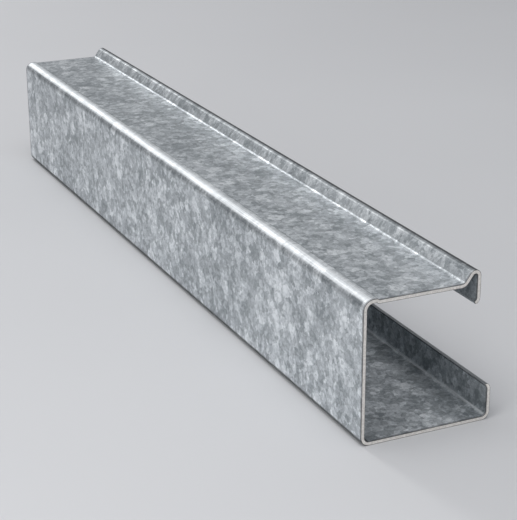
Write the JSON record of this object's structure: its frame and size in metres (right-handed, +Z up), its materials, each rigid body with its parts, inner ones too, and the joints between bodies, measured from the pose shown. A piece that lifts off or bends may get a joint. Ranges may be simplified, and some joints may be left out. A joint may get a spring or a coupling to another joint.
{
  "type": "steel c-channel",
  "caption": "Cold-formed galvanised steel C-channel: a web, two flanges, an upturned lower lip and an upper lip under a rounded ridge; open along one side.",
  "frame": {"origin": "under the middle of the channel, on the plane its lower flange rests on", "axes": "+Y along the channel's length, +X from the web towards the open side, +Z up"},
  "size_m": [0.072, 0.525, 0.0805],
  "materials": {
    "galvanised_sheet": "hot-dip galvanised, satin, with a regular zinc spangle; sheared edges lighter and warmer"
  },
  "bodies": {
    "root": {"c_channel": "galvanised_sheet"}
  },
  "joints": []
}
